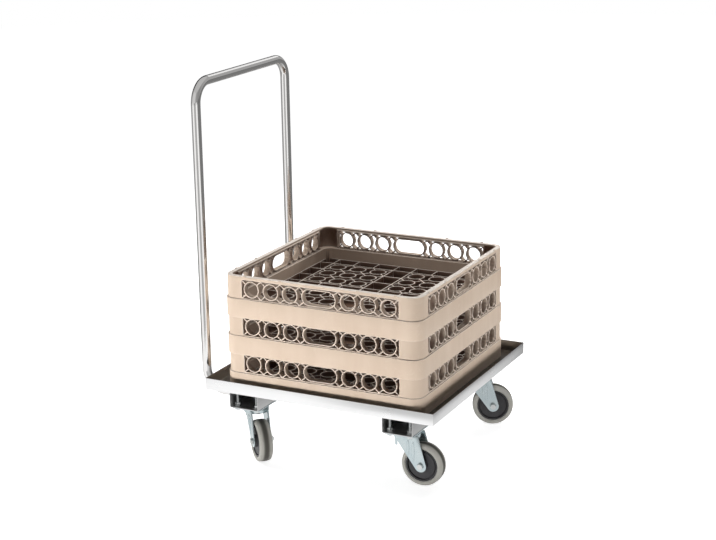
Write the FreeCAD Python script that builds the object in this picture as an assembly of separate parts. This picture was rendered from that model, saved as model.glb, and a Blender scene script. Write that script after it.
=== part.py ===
import FreeCAD, Part
import math
import os

# Dishwasher rack trolley: a folded stainless tray on two U channels and four swivel
# casters, a bent tube push handle at one end, and a stack of nesting plastic racks.
# Millimetres. +Z is up, +X points away from the handle, and the origin is on the floor
# under the middle of the whole trolley.

# Racks: square moulded crates that nest into one another
rack_size = 500.0
rack_names = ("bottom", "middle", "top")
rack_skirt_height = 45.0
rack_skirt_wall = 2.5
rack_nest_depth = 8.5
rack_nest_clearance = 0.5
rack_wall = 3.0
rack_corner_radius = 28.0
rack_corner_width = 49.0
rack_rim_thickness = 12.0
rack_rim_height = 5.0
rack_ledge_width = 22.0
rack_ledge_thickness = 3.0
rack_inner_corner_radius = 15.0
rack_web_thickness = 2.5
rack_web_spacing = 60.0
rack_webs_per_half_wall = 4

# Wall lattice of the racks: rings either side of an oval hand slot
ring_diameter = 40.0
rings_per_half_wall = 3
ring_edge_gap = 1.5
lattice_rib = 2.5
lattice_depth = 15.0
hand_slot_length = 87.0

# Floor lattice of the racks: rings in four panels with plain bands between
floor_rings_per_panel = 3
floor_ring_pitch = 55.5
floor_middle_band = 48.0
floor_top = 17.0
floor_depth = 15.5
floor_ring_diameter = 42.0
floor_rib = 2.5

# Small stops on the rim of each rack
nub_length = 8.0
nub_width = 3.0
nub_height = 1.5
nub_offsets = (-190.0, -98.0, 98.0, 190.0)

# Tray: folded sheet with welded corners
tray_sheet = 1.5
tray_rim_height = 28.5
tray_bend_radius = 2.5
tray_room_along = 39.5
tray_room_across = 20.5

# Channels under the tray
channel_width = 76.0
channel_height = 40.0
channel_sheet = 2.0
channel_bend_radius = 4.0
channel_side_inset = 56.0
channel_end_setback = 13.5

# Push handle: one bent tube
handle_tube_diameter = 22.0
handle_tube_wall = 1.5
handle_top_height = 892.0
handle_leg_spacing = 416.0
handle_bend_radius = 50.0
handle_tray_gap = 5.0

# Wheels: rubber tyre on a plastic core
wheel_diameter = 100.0
tyre_width = 32.0
tyre_shoulder_radius = 7.0
tyre_bead_width = 28.0
core_diameter = 77.0
core_rim_width = 4.0
core_groove_width = 2.5
core_groove_depth = 5.0
core_face_width = 25.0
hub_diameter = 30.0
hub_width = 36.0

# Axle: bolt through a sleeve on which the wheel runs
axle_bolt_diameter = 8.0
axle_sleeve_diameter = 12.0
axle_bolt_clearance = 0.2
wheel_running_clearance = 0.05
hub_side_gap = 0.5
hex_across_flats = 13.0
hex_head_height = 5.3
hex_nut_height = 6.5
thread_clearance = 0.05
bolt_end_past_nut = 2.0

# Fork: pressed steel, trailing behind its swivel pin
fork_sheet = 3.0
fork_crown_radius = 30.0
fork_collar_depth = 9.0
fork_brow_depth = 27.0
fork_front_reach = 29.0
fork_back_reach = 33.0
fork_end_radius = 14.0
fork_trail = 38.5

# Swivel: riveted pin, ball race and top plate
kingpin_diameter = 12.0
kingpin_head_diameter = 22.0
kingpin_head_height = 4.0
kingpin_running_clearance = 0.05
kingpin_wheel_headroom = 13.7
race_diameter = 50.0
race_height = 7.7
swivel_clearance = 0.3
plate_along = 74.0
plate_across = 105.0
plate_thickness = 3.0
plate_corner_radius = 8.0
plate_front_setback = 4.0

# Bolts that hold the caster plates to the channels
mount_bolt_diameter = 8.0
mount_bolt_length = 35.0
mount_hole_clearance = 0.5
mount_hole_along = 50.0
mount_hole_across = 80.0
washer_diameter = 16.0
washer_thickness = 1.6

# Casters: end of the trolley, side as seen from the handle, rest angle of the trail
casters = {
    "front_right": (1, -1, 2.0),
    "front_left": (1, 1, 25.0),
    "rear_right": (-1, -1, -45.0),
    "rear_left": (-1, 1, 45.0),
}

# Heights, worked up from the floor
wheel_radius = wheel_diameter / 2
kingpin_head_bottom = wheel_diameter + kingpin_wheel_headroom
kingpin_head_top = kingpin_head_bottom + kingpin_head_height
crown_bottom = kingpin_head_top + swivel_clearance
crown_top = crown_bottom + fork_sheet
race_bottom = crown_top + swivel_clearance
plate_bottom = race_bottom + race_height
plate_top = plate_bottom + plate_thickness
channel_floor = plate_top + channel_sheet
tray_bottom = plate_top + channel_height
tray_floor = tray_bottom + tray_sheet

# Rack sizes that follow from the ones above
rack_half = rack_size / 2
rim_half = rack_half - rack_skirt_wall - rack_nest_clearance
ledge_bottom = rack_skirt_height - rack_ledge_thickness
band_height = ring_diameter + 2 * ring_edge_gap
band_bottom = rack_skirt_height + lattice_rib
rim_bottom = band_bottom + band_height + lattice_rib
rack_height = rim_bottom + rack_rim_height
rack_pitch = rack_height - rack_nest_depth

# Plan sizes
tray_length = rack_size + 2 * (tray_room_along + tray_sheet)
tray_width = rack_size + 2 * (tray_room_across + tray_sheet)
channel_length = tray_width - 2 * channel_end_setback
channel_offset = tray_length / 2 - channel_side_inset - channel_width / 2
caster_offset = channel_length / 2 - plate_across / 2 - plate_front_setback

# The lower bend of the handle just clears the lower edge of the tray
tube_radius = handle_tube_diameter / 2
handle_run_drop = channel_height / 2
bend_clear_radius = handle_bend_radius - tube_radius - handle_tray_gap
bend_reach_in = math.sqrt(bend_clear_radius ** 2 - (handle_bend_radius - handle_run_drop) ** 2)
handle_leg_offset = tray_length / 2 + handle_bend_radius - bend_reach_in

# The tray's middle stands off the origin by half of what the handle adds at its end
tray_x = (handle_leg_offset + tube_radius - tray_length / 2) / 2

AXIS_X = FreeCAD.Vector(1, 0, 0)
AXIS_Y = FreeCAD.Vector(0, 1, 0)
AXIS_Z = FreeCAD.Vector(0, 0, 1)
ORIGIN = FreeCAD.Vector(0, 0, 0)


def vec(x, y, z=0.0):
    return FreeCAD.Vector(x, y, z)


def moved(shape, x, y, z=0.0, turn=0.0):
    """A copy of the shape, turned about Z at the origin and then shifted."""
    copy = shape.copy()
    copy.rotate(ORIGIN, AXIS_Z, turn)
    copy.translate(vec(x, y, z))
    return copy


def block(x0, x1, y0, y1, z0, z1):
    return Part.makeBox(x1 - x0, y1 - y0, z1 - z0, vec(x0, y0, z0))


def cylinder(radius, z0, z1, x=0.0, y=0.0):
    return Part.makeCylinder(radius, z1 - z0, vec(x, y, z0), AXIS_Z)


def edges_along(solid, axis):
    """The straight edges of a block that run along an axis."""
    return [edge for edge in solid.Edges if abs(edge.tangentAt(edge.FirstParameter).dot(axis)) > 0.9]


def rounded_block(length, width, radius, z0, z1):
    """An upright block about the Z axis with round vertical corners."""
    solid = block(-length / 2, length / 2, -width / 2, width / 2, z0, z1)
    return solid.makeFillet(radius, edges_along(solid, AXIS_Z))


def square_ring(outer_half, inner_half, outer_radius, inner_radius, z0, z1):
    """An upright wall that runs round a square with round corners."""
    outer = rounded_block(2 * outer_half, 2 * outer_half, outer_radius, z0, z1)
    return outer.cut(rounded_block(2 * inner_half, 2 * inner_half, inner_radius, z0, z1))


def outline(start, *steps):
    """A closed flat outline: a step is an end point, or a middle and an end point for an arc."""
    edges = []
    here = vec(*start)
    for step in steps:
        end = vec(*step[-1])
        if len(step) == 2:
            edges.append(Part.Arc(here, vec(*step[0]), end).toShape())
        else:
            edges.append(Part.LineSegment(here, end).toShape())
        here = end
    return Part.Wire(edges)


def rectangle(half_x, half_y):
    return Part.makePolygon([vec(-half_x, -half_y), vec(half_x, -half_y), vec(half_x, half_y),
                             vec(-half_x, half_y), vec(-half_x, -half_y)])


def circle(radius):
    return Part.Wire([Part.makeCircle(radius)])


def holed_plate(border, holes, thickness):
    face = Part.makeFace([border] + holes, "Part::FaceMakerBullseye")
    return face.extrude(vec(0, 0, thickness))


def strut_roots(half_x, half_y, radius, rib):
    """Where the two sides of a strut leave its ring, on the way to the corner of its cell."""
    length = math.hypot(half_x, half_y)
    reach = math.sqrt(radius ** 2 - (rib / 2) ** 2)
    lower = ((half_x * reach + half_y * rib / 2) / length, (half_y * reach - half_x * rib / 2) / length)
    upper = ((half_x * reach - half_y * rib / 2) / length, (half_y * reach + half_x * rib / 2) / length)
    return lower, upper


def gap_between_rings(half_x, half_y, radius, rib):
    """The opening between a ring at the origin and its neighbour along +X."""
    (x, y), upper = strut_roots(half_x, half_y, radius, rib)
    tip = half_y - rib / 2 * math.hypot(half_x, half_y) / half_x
    far = 2 * half_x
    return outline((x, y), ((half_x, tip),), ((far - x, y),), ((far - radius, 0), (far - x, -y)),
                   ((half_x, -tip),), ((x, -y),), ((radius, 0), (x, y)))


def gap_beside_ring(half_x, half_y, radius, rib, edge_x):
    """The opening between a ring at the origin and a straight edge at +X."""
    (x, y), upper = strut_roots(half_x, half_y, radius, rib)
    edge_y = y + (edge_x - x) * half_y / half_x
    return outline((x, y), ((edge_x, edge_y),), ((edge_x, -edge_y),), ((x, -y),), ((radius, 0), (x, y)))


def gap_above_ring(half_x, half_y, radius, rib, half_straight=0.0):
    """The opening over a ring, or over an oval with a straight middle, up to the band's edge."""
    lower, (x, y) = strut_roots(half_x, half_y, radius, rib)
    edge_x = half_straight + x + (half_y - y) * half_x / half_y
    x = x + half_straight
    lean = math.atan2(y, x - half_straight)
    middle = (lean + math.pi / 2) / 2
    bend_x = half_straight + radius * math.cos(middle)
    bend_y = radius * math.sin(middle)
    steps = [((edge_x, half_y),), ((-edge_x, half_y),), ((-x, y),),
             ((-bend_x, bend_y), (-half_straight, radius))]
    if half_straight > 0:
        steps.append(((half_straight, radius),))
    steps.append(((bend_x, bend_y), (x, y)))
    return outline((x, y), *steps)


def oval(half_straight, radius):
    return outline((half_straight, radius), ((-half_straight, radius),),
                   ((-half_straight - radius, 0), (-half_straight, -radius)),
                   ((half_straight, -radius),),
                   ((half_straight + radius, 0), (half_straight, radius)))


def rack_wall_lattice():
    """One wall's window: its frame, its rings and its hand slot, standing at the +Y wall."""
    radius = ring_diameter / 2
    hole = radius - lattice_rib
    half_straight = hand_slot_length / 2 - radius
    window_half = rim_half - rack_corner_width
    half_pitch = (window_half - half_straight) / (2 * rings_per_half_wall + 1)
    half_band = band_height / 2
    cell = (half_pitch, half_band, radius, lattice_rib)
    holes = [oval(half_straight, hole)]
    for turn in (0, 180):
        side = math.cos(math.radians(turn))
        holes.append(moved(gap_above_ring(*cell, half_straight), 0, 0, 0, turn))
        for index in range(rings_per_half_wall + 1):
            x = side * (half_straight + 2 * half_pitch * index)
            if index < rings_per_half_wall:
                holes.append(moved(gap_between_rings(*cell), x, 0, 0, turn))
            else:
                holes.append(moved(gap_beside_ring(*cell, half_pitch), x, 0, 0, turn))
            if index > 0:
                holes.append(moved(circle(hole), x, 0))
                holes.append(moved(gap_above_ring(*cell), x, 0))
                holes.append(moved(gap_above_ring(*cell), x, 0, 0, 180))
    border = rectangle(window_half + lattice_rib, half_band + lattice_rib)
    panel = holed_plate(border, holes, lattice_depth)
    panel.rotate(ORIGIN, AXIS_X, 90)
    return moved(panel, 0, rim_half, band_bottom + half_band)


def floor_strips():
    """The rows of the floor lattice: where each lies, its half width, and whether it holds rings."""
    edge = rack_half - rack_ledge_width
    panel_start = floor_middle_band / 2
    panel_end = panel_start + floor_rings_per_panel * floor_ring_pitch
    strips = [(0, panel_start, False)]
    for side in (-1, 1):
        strips.append((side * (edge + panel_end) / 2, (edge - panel_end) / 2, False))
        for index in range(floor_rings_per_panel):
            place = panel_start + (index + 0.5) * floor_ring_pitch
            strips.append((side * place, floor_ring_pitch / 2, True))
    return strips


def rack_floor():
    """The floor lattice: square panels of rings, with bands of plain cells round and between."""
    half = floor_ring_pitch / 2
    radius = floor_ring_diameter / 2
    panel_end = floor_middle_band / 2 + floor_rings_per_panel * floor_ring_pitch
    cell = (half, half, radius, floor_rib)
    holes = []
    for x, half_x, rings_along in floor_strips():
        for y, half_y, rings_across in floor_strips():
            if not (rings_along and rings_across):
                holes.append(moved(rectangle(half_x - floor_rib / 2, half_y - floor_rib / 2), x, y))
                continue
            holes.append(moved(circle(radius - floor_rib), x, y))
            for quarter, place in enumerate((x, y, -x, -y)):
                neighbour = place + floor_ring_pitch
                if floor_middle_band / 2 < abs(neighbour) < panel_end:
                    if quarter < 2:
                        holes.append(moved(gap_between_rings(*cell), x, y, 0, 90 * quarter))
                else:
                    gap = gap_beside_ring(*cell, half - floor_rib / 2)
                    holes.append(moved(gap, x, y, 0, 90 * quarter))
    border_half = rack_half - rack_ledge_width + rack_skirt_wall / 2
    return moved(holed_plate(rectangle(border_half, border_half), holes, floor_depth), 0, 0,
                 floor_top - floor_depth)


def rack():
    """One crate, standing at the origin: skirt, ledge, ringed walls, rim and floor."""
    skirt_radius = rack_corner_radius + rack_skirt_wall + rack_nest_clearance
    inner_half = rack_half - rack_ledge_width
    inner_wall_half = inner_half + rack_skirt_wall
    inner_wall_radius = rack_inner_corner_radius + rack_skirt_wall
    skirt_inner_half = rack_half - rack_skirt_wall
    skirt = square_ring(rack_half, skirt_inner_half, skirt_radius, skirt_radius - rack_skirt_wall,
                        0, rack_skirt_height)
    ledge = square_ring(rack_half, inner_half, skirt_radius, rack_inner_corner_radius,
                        ledge_bottom, rack_skirt_height)
    inner_wall = square_ring(inner_wall_half, inner_half, inner_wall_radius, rack_inner_corner_radius,
                             floor_top - floor_depth, rack_skirt_height)
    wall = square_ring(rim_half, rim_half - rack_wall, rack_corner_radius, rack_corner_radius - rack_wall,
                       rack_skirt_height, rack_height)
    rim = square_ring(rim_half, rim_half - rack_rim_thickness, rack_corner_radius,
                      rack_corner_radius - rack_rim_thickness, rim_bottom, rack_height)
    window_half = rim_half - rack_corner_width
    window = block(-window_half, window_half, rim_half - 2 * rack_wall, rim_half + rack_wall,
                   band_bottom, band_bottom + band_height)
    wall_pieces = [rack_wall_lattice()]
    for index in range(rack_webs_per_half_wall):
        for side in (-1, 1):
            x = side * (index + 0.5) * rack_web_spacing
            wall_pieces.append(block(x - rack_web_thickness / 2, x + rack_web_thickness / 2,
                                     inner_wall_half - rack_skirt_wall / 2,
                                     rack_half - rack_skirt_wall / 2, rack_nest_depth, rack_skirt_height))
    for x in nub_offsets:
        wall_pieces.append(block(x - nub_length / 2, x + nub_length / 2, rim_half - nub_width, rim_half,
                                 rim_bottom, rack_height + nub_height))
    windows = [moved(window, 0, 0, 0, turn) for turn in (0, 90, 180, 270)]
    pieces = [ledge, inner_wall, wall.cut(windows), rim, rack_floor().common(
        rounded_block(2 * inner_wall_half, 2 * inner_wall_half, inner_wall_radius, 0, rack_height))]
    for turn in (0, 90, 180, 270):
        pieces.extend(moved(piece, 0, 0, 0, turn) for piece in wall_pieces)
    return skirt.fuse(pieces).removeSplitter()


def tray():
    half_x = tray_length / 2
    half_y = tray_width / 2
    top = tray_bottom + tray_rim_height
    outer = block(-half_x, half_x, -half_y, half_y, tray_bottom, top)
    inner = block(-half_x + tray_sheet, half_x - tray_sheet, -half_y + tray_sheet, half_y - tray_sheet,
                  tray_floor, top)

    def bottom_edges(solid, level):
        return [edge for edge in solid.Edges if abs(edge.CenterOfMass.z - level) < tray_sheet / 10]

    outer = outer.makeFillet(tray_bend_radius, bottom_edges(outer, tray_bottom))
    inner = inner.makeFillet(tray_bend_radius - tray_sheet, bottom_edges(inner, tray_floor))
    return outer.cut(inner)


def mount_hole_places(end, side):
    """The four bolt places of one caster, about the tray's middle."""
    for along in (-1, 1):
        for across in (-1, 1):
            yield (end * channel_offset + along * mount_hole_along / 2,
                   side * caster_offset + across * mount_hole_across / 2)


def channel(end):
    half = channel_width / 2
    long_half = channel_length / 2
    outer = block(-half, half, -long_half, long_half, plate_top, tray_bottom)
    inner = block(-half + channel_sheet, half - channel_sheet, -long_half, long_half,
                  channel_floor, tray_bottom)

    def lower_edges(solid, level):
        return [edge for edge in edges_along(solid, AXIS_Y)
                if abs(edge.CenterOfMass.z - level) < channel_sheet / 10]

    outer = outer.makeFillet(channel_bend_radius, lower_edges(outer, plate_top))
    inner = inner.makeFillet(channel_bend_radius - channel_sheet, lower_edges(inner, channel_floor))
    solid = moved(outer.cut(inner), end * channel_offset, 0)
    hole = mount_bolt_diameter / 2 + mount_hole_clearance
    holes = [cylinder(hole, plate_bottom, tray_bottom, x, y)
             for side in (-1, 1) for x, y in mount_hole_places(end, side)]
    return solid.cut(holes)


def handle():
    """A round tube: out from the channel, up, across and back again, all bends alike."""
    leg = -handle_leg_offset
    start = -channel_offset - channel_width / 2
    low = tray_bottom - handle_run_drop
    high = handle_top_height - tube_radius
    half = handle_leg_spacing / 2
    bend = handle_bend_radius
    inset = bend * (1 - math.sqrt(0.5))
    near = [vec(start, -half, low), vec(leg + bend, -half, low), vec(leg + inset, -half, low + inset),
            vec(leg, -half, low + bend), vec(leg, -half, high - bend),
            vec(leg, -half + inset, high - inset), vec(leg, -half + bend, high)]
    points = near + [vec(point.x, -point.y, point.z) for point in reversed(near)]
    edges = []
    for first in range(0, len(points) - 1, 3):
        edges.append(Part.LineSegment(points[first], points[first + 1]).toShape())
        if first + 3 < len(points):
            edges.append(Part.Arc(*points[first + 1:first + 4]).toShape())
    path = Part.Wire(edges)

    def swept(radius):
        section = Part.Wire([Part.makeCircle(radius, near[0], AXIS_X)])
        return path.makePipeShell([section], True, False)

    return swept(tube_radius).cut(swept(tube_radius - handle_tube_wall))


def hexagon(height, z0):
    """An upright hexagonal prism about the Z axis."""
    corner = hex_across_flats / math.sqrt(3)
    points = [vec(corner * math.cos(math.radians(60 * k)), corner * math.sin(math.radians(60 * k)), z0)
              for k in range(7)]
    return Part.Face(Part.makePolygon(points)).extrude(vec(0, 0, height))


def caster_plate():
    solid = rounded_block(plate_along, plate_across, plate_corner_radius, plate_bottom, plate_top)
    hole = mount_bolt_diameter / 2 + mount_hole_clearance
    cuts = [cylinder(kingpin_diameter / 2 + thread_clearance, plate_bottom, plate_top)]
    for along in (-1, 1):
        for across in (-1, 1):
            cuts.append(cylinder(hole, plate_bottom, plate_top, along * mount_hole_along / 2,
                                 across * mount_hole_across / 2))
    return solid.cut(cuts)


def swivel_race():
    bore = cylinder(kingpin_diameter / 2 + thread_clearance, race_bottom, plate_bottom)
    return cylinder(race_diameter / 2, race_bottom, plate_bottom).cut(bore)


def kingpin():
    head = cylinder(kingpin_head_diameter / 2, kingpin_head_bottom, kingpin_head_top)
    return head.fuse(cylinder(kingpin_diameter / 2, kingpin_head_bottom, plate_top)).removeSplitter()


def tangent_angle(point, centre, radius, side):
    """The angle on a circle where a line from a point touches it, on the given side."""
    dx = point[0] - centre[0]
    dz = point[1] - centre[1]
    return math.atan2(dz, dx) + side * math.acos(radius / math.hypot(dx, dz))


def fork():
    """Two tapering cheeks under a round crown, with a short collar and a deep brow in front."""
    inner_half = hub_width / 2 + hub_side_gap
    axle = (fork_trail, wheel_radius)
    front_top = (-fork_front_reach, crown_top)
    back_top = (fork_back_reach, crown_top)
    front = tangent_angle(front_top, axle, fork_end_radius, 1)
    back = tangent_angle(back_top, axle, fork_end_radius, -1)
    foot = (front + back) / 2 + math.pi

    def on_end(angle):
        return (axle[0] + fork_end_radius * math.cos(angle), axle[1] + fork_end_radius * math.sin(angle))

    cheek_wire = outline(front_top, (back_top,), (on_end(back),), (on_end(foot), on_end(front)),
                         (front_top,))
    cheek = Part.Face(cheek_wire).extrude(vec(0, 0, fork_sheet))
    cheek.rotate(ORIGIN, AXIS_X, 90)
    crown = cylinder(fork_crown_radius, crown_bottom, crown_top)
    collar_bottom = crown_top - fork_collar_depth
    brow_bottom = crown_top - fork_brow_depth
    shell = cylinder(fork_crown_radius, brow_bottom, crown_top)
    shell = shell.cut(cylinder(fork_crown_radius - fork_sheet, brow_bottom, crown_top))
    open_back = Part.makeBox(fork_crown_radius, 2 * fork_crown_radius, collar_bottom - brow_bottom,
                             vec(0, -fork_crown_radius, brow_bottom))
    beside = Part.makeBox(fork_crown_radius, fork_crown_radius, collar_bottom - brow_bottom)
    outside = inner_half + fork_sheet
    shell = shell.cut([open_back, moved(beside, -fork_crown_radius, outside, brow_bottom),
                       moved(beside, -fork_crown_radius, -outside - fork_crown_radius, brow_bottom)])
    solid = crown.fuse([shell, moved(cheek, 0, outside), moved(cheek, 0, -inner_half)])
    pin_hole = cylinder(kingpin_diameter / 2 + kingpin_running_clearance, collar_bottom, crown_top)
    axle_hole = Part.makeCylinder(axle_bolt_diameter / 2 + axle_bolt_clearance, 4 * inner_half,
                                  vec(axle[0], -2 * inner_half, axle[1]), AXIS_Y)
    return solid.removeSplitter().cut([pin_hole, axle_hole])


def on_axle(solid):
    """Lays a piece that was made about the Z axis along the axle, its +Z end towards -Y."""
    laid = solid.copy()
    laid.rotate(ORIGIN, AXIS_X, 90)
    laid.translate(vec(fork_trail, 0, wheel_radius))
    return laid


def axle_bolt():
    """Its hexagon head lies on the cheek at -Y, its thread ends past the nut at +Y."""
    outside = hub_width / 2 + hub_side_gap + fork_sheet
    end = outside + hex_nut_height + bolt_end_past_nut
    shank = cylinder(axle_bolt_diameter / 2, -end, outside)
    return on_axle(shank.fuse(hexagon(hex_head_height, outside)).removeSplitter())


def axle_nut():
    outside = hub_width / 2 + hub_side_gap + fork_sheet
    bore = cylinder(axle_bolt_diameter / 2 + thread_clearance, -outside - hex_nut_height, -outside)
    return on_axle(hexagon(hex_nut_height, -outside - hex_nut_height).cut(bore))


def axle_sleeve():
    half = hub_width / 2 + hub_side_gap
    bore = cylinder(axle_bolt_diameter / 2 + axle_bolt_clearance, -half, half)
    return on_axle(cylinder(axle_sleeve_diameter / 2, -half, half).cut(bore))


def wheel_core():
    """A plain dished disc: outer rim, shallow ring groove, flat face and a hub."""
    radius = core_diameter / 2
    half_bead = tyre_bead_width / 2
    groove_outer = radius - core_rim_width
    half_face = core_face_width / 2
    solid = cylinder(radius, -half_bead, half_bead)
    dish = cylinder(groove_outer, half_face, half_bead)
    groove = cylinder(groove_outer, half_face - core_groove_depth, half_face)
    groove = groove.cut(cylinder(groove_outer - core_groove_width, half_face - core_groove_depth, half_face))
    cuts = []
    for turn in (0, 180):
        for piece in (dish, groove):
            side = piece.copy()
            side.rotate(ORIGIN, AXIS_X, turn)
            cuts.append(side)
    solid = solid.cut(cuts).fuse(cylinder(hub_diameter / 2, -hub_width / 2, hub_width / 2))
    bore = cylinder(axle_sleeve_diameter / 2 + wheel_running_clearance, -hub_width / 2, hub_width / 2)
    return on_axle(solid.removeSplitter().cut(bore))


def wheel_tyre():
    """A solid rubber ring with round shoulders, seated on the core's rim."""
    half = tyre_width / 2
    half_bead = tyre_bead_width / 2
    seat = core_diameter / 2
    ring = cylinder(wheel_radius, -half, half)
    shoulders = [edge for edge in ring.Edges if edge.Closed and abs(edge.CenterOfMass.z) > half_bead / 2]
    ring = ring.makeFillet(tyre_shoulder_radius, shoulders)
    flank = half - half_bead
    bore = cylinder(seat, -half, half)
    for end in (-1, 1):
        mouth = vec(0, 0, end * half_bead)
        bore = bore.fuse(Part.makeCone(seat, seat + flank, flank, mouth, vec(0, 0, end)))
    return on_axle(ring.cut(bore))


def mount_fasteners():
    """Bolts from below, with washers and nuts inside the channels, as groups."""
    radius = mount_bolt_diameter / 2
    bolt = hexagon(hex_head_height, plate_bottom - hex_head_height)
    bolt = bolt.fuse(cylinder(radius, plate_bottom, plate_bottom + mount_bolt_length)).removeSplitter()
    washer_top = channel_floor + washer_thickness
    washer = cylinder(washer_diameter / 2, channel_floor, washer_top)
    washer = washer.cut(cylinder(radius + thread_clearance, channel_floor, washer_top))
    nut_bore = cylinder(radius + thread_clearance, washer_top, washer_top + hex_nut_height)
    nut = hexagon(hex_nut_height, washer_top).cut(nut_bore)
    groups = {"caster_bolts": [], "caster_washers": [], "caster_nuts": []}
    for end, side, turn in casters.values():
        for x, y in mount_hole_places(end, side):
            groups["caster_bolts"].append(moved(bolt, x, y))
            groups["caster_washers"].append(moved(washer, x, y))
            groups["caster_nuts"].append(moved(nut, x, y))
    return {name: Part.makeCompound(solids) for name, solids in groups.items()}


def all_nodes():
    """Every piece by its node name, about the tray's middle."""
    nodes = {"tray": tray(), "channel_front": channel(1), "channel_rear": channel(-1), "handle": handle()}
    nodes.update(mount_fasteners())
    fixed = {"plate": caster_plate(), "race": swivel_race(), "kingpin": kingpin()}
    turning = {"fork": fork(), "axle_bolt": axle_bolt(), "axle_nut": axle_nut(),
               "axle_sleeve": axle_sleeve(), "wheel_core": wheel_core(), "wheel_tyre": wheel_tyre()}
    for place, (end, side, turn) in casters.items():
        x = end * channel_offset
        y = side * caster_offset
        for piece, solid in fixed.items():
            nodes["caster_%s_%s" % (place, piece)] = moved(solid, x, y)
        for piece, solid in turning.items():
            nodes["caster_%s_%s" % (place, piece)] = moved(solid, x, y, 0, turn)
    crate = rack()
    for index, name in enumerate(rack_names):
        nodes["rack_" + name] = moved(crate, 0, 0, tray_floor + index * rack_pitch)
    return nodes


os.makedirs("parts", exist_ok=True)
for node_name, node_shape in all_nodes().items():
    moved(node_shape, tray_x, 0).exportStep("parts/%s.step" % node_name)
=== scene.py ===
import math

import bmesh
import bpy
from mathutils import Matrix, Vector


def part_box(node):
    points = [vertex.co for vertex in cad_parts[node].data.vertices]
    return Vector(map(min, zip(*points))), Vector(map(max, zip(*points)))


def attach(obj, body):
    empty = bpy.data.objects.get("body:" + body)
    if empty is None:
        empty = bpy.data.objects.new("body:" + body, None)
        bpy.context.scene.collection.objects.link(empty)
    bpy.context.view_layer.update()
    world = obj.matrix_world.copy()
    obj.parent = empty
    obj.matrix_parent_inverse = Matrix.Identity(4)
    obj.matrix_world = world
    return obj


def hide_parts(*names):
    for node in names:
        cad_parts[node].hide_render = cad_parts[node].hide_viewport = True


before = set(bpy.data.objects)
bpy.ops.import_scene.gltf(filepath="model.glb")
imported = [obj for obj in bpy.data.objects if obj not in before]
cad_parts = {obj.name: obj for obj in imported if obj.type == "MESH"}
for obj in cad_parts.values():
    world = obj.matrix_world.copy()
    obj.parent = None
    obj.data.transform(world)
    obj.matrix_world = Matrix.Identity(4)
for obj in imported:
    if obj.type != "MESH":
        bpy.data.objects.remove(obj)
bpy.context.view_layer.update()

scene = bpy.context.scene
scene.view_settings.view_transform = "Standard"

# Tray
# One sheet of 1.5 mm stainless steel, brushed along its sides, which are folded up.
# The corners are welded inside and ground flush outside, so they stay sharp.
# Its inside is painted dark, a painted shade for the dark reflections and shade of the racks.
MERGE_DISTANCE = 1e-5
CREASE_ANGLE = math.radians(30)
BEAD_SIDES = 10
STEPS_PER_RIPPLE = 4
RIPPLE_PITCH = 1.4


def middle_of(node):
    low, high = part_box(node)
    return (Vector(low) + Vector(high)) / 2


def copy_of(node):
    """A merged copy of a node's mesh."""
    shape = bmesh.new()
    shape.from_mesh(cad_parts[node].data)
    bmesh.ops.remove_doubles(shape, verts=shape.verts, dist=MERGE_DISTANCE)
    return shape


def sharp_edges(shape):
    return [edge for edge in shape.edges if edge.calc_face_angle(0) > CREASE_ANGLE]


def round_edges(shape, edges, radius, steps=2):
    """Rounds edges, and marks the narrow new faces so that a finish can show wear on steel and a painted
    highlight on plastic there.
    """
    layer = shape.faces.layers.float.get("edge") or shape.faces.layers.float.new("edge")
    made = bmesh.ops.bevel(shape, geom=edges, offset=radius, offset_type="OFFSET", segments=steps,
                           profile=0.5, affect="EDGES", clamp_overlap=False, material=-1)
    for face in made["faces"]:
        face[layer] = 1.0


def rippled(angle):
    """How thick a weld bead is on its way, as a share of its full thickness."""
    return 0.9 + 0.1 * math.cos(angle)


def add_bead(shape, middle, along, length, thickness):
    """A weld bead: a sausage with blunt ends and ripples across it, laid along a direction."""
    ripples = round(length / (RIPPLE_PITCH * thickness))
    bead = bmesh.ops.create_uvsphere(shape, u_segments=BEAD_SIDES, v_segments=STEPS_PER_RIPPLE * ripples,
                                     radius=1.0)["verts"]
    for vert in bead:
        run = vert.co.z
        ring = Vector((vert.co.x, vert.co.y))
        if ring.length > MERGE_DISTANCE:
            ring = ring.normalized() * math.sqrt(1 - run ** 6) * rippled(math.pi * ripples * run)
        vert.co = (ring.x * thickness, ring.y * thickness, run * length / 2)
    turn = Vector(along).to_track_quat("Z", "Y").to_matrix().to_4x4()
    bmesh.ops.transform(shape, matrix=Matrix.Translation(middle) @ turn, verts=bead)


def add_piece(name, shape, finish, body, slot, *nodes):
    """Makes the mesh an object with its finish, which rides on a body and stands for nodes."""
    mesh = bpy.data.meshes.new(name)
    shape.to_mesh(mesh)
    shape.free()
    normals = mesh.attributes.get("custom_normal")
    if normals:
        mesh.attributes.remove(normals)
    mesh.materials.clear()
    mesh.materials.append(finish)
    mesh.shade_smooth()
    mesh.set_sharp_from_angle(angle=CREASE_ANGLE)
    piece = bpy.data.objects.new(name, mesh)
    scene.collection.objects.link(piece)
    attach(piece, body)
    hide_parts(*nodes)


def add(tree, kind, links=None, **settings):
    """A shader node with its settings; links gives its inputs, as values or as sockets."""
    node = tree.nodes.new("ShaderNode" + kind)
    for name, value in settings.items():
        setattr(node, name, value)
    for name, value in (links or {}).items():
        if isinstance(value, bpy.types.NodeSocket):
            tree.links.new(value, node.inputs[name])
        else:
            node.inputs[name].default_value = value
    return node


def blend_colour(tree, factor, first, second):
    """A colour between two, each a colour or a socket."""
    mix = add(tree, "Mix", {0: factor, 6: first, 7: second}, data_type="RGBA")
    return mix.outputs[2]


def spread(tree, value, low, high):
    """Stretches a value from 0..1 to low..high."""
    return add(tree, "MapRange", {"Value": value, "To Min": low, "To Max": high}).outputs[0]


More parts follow.
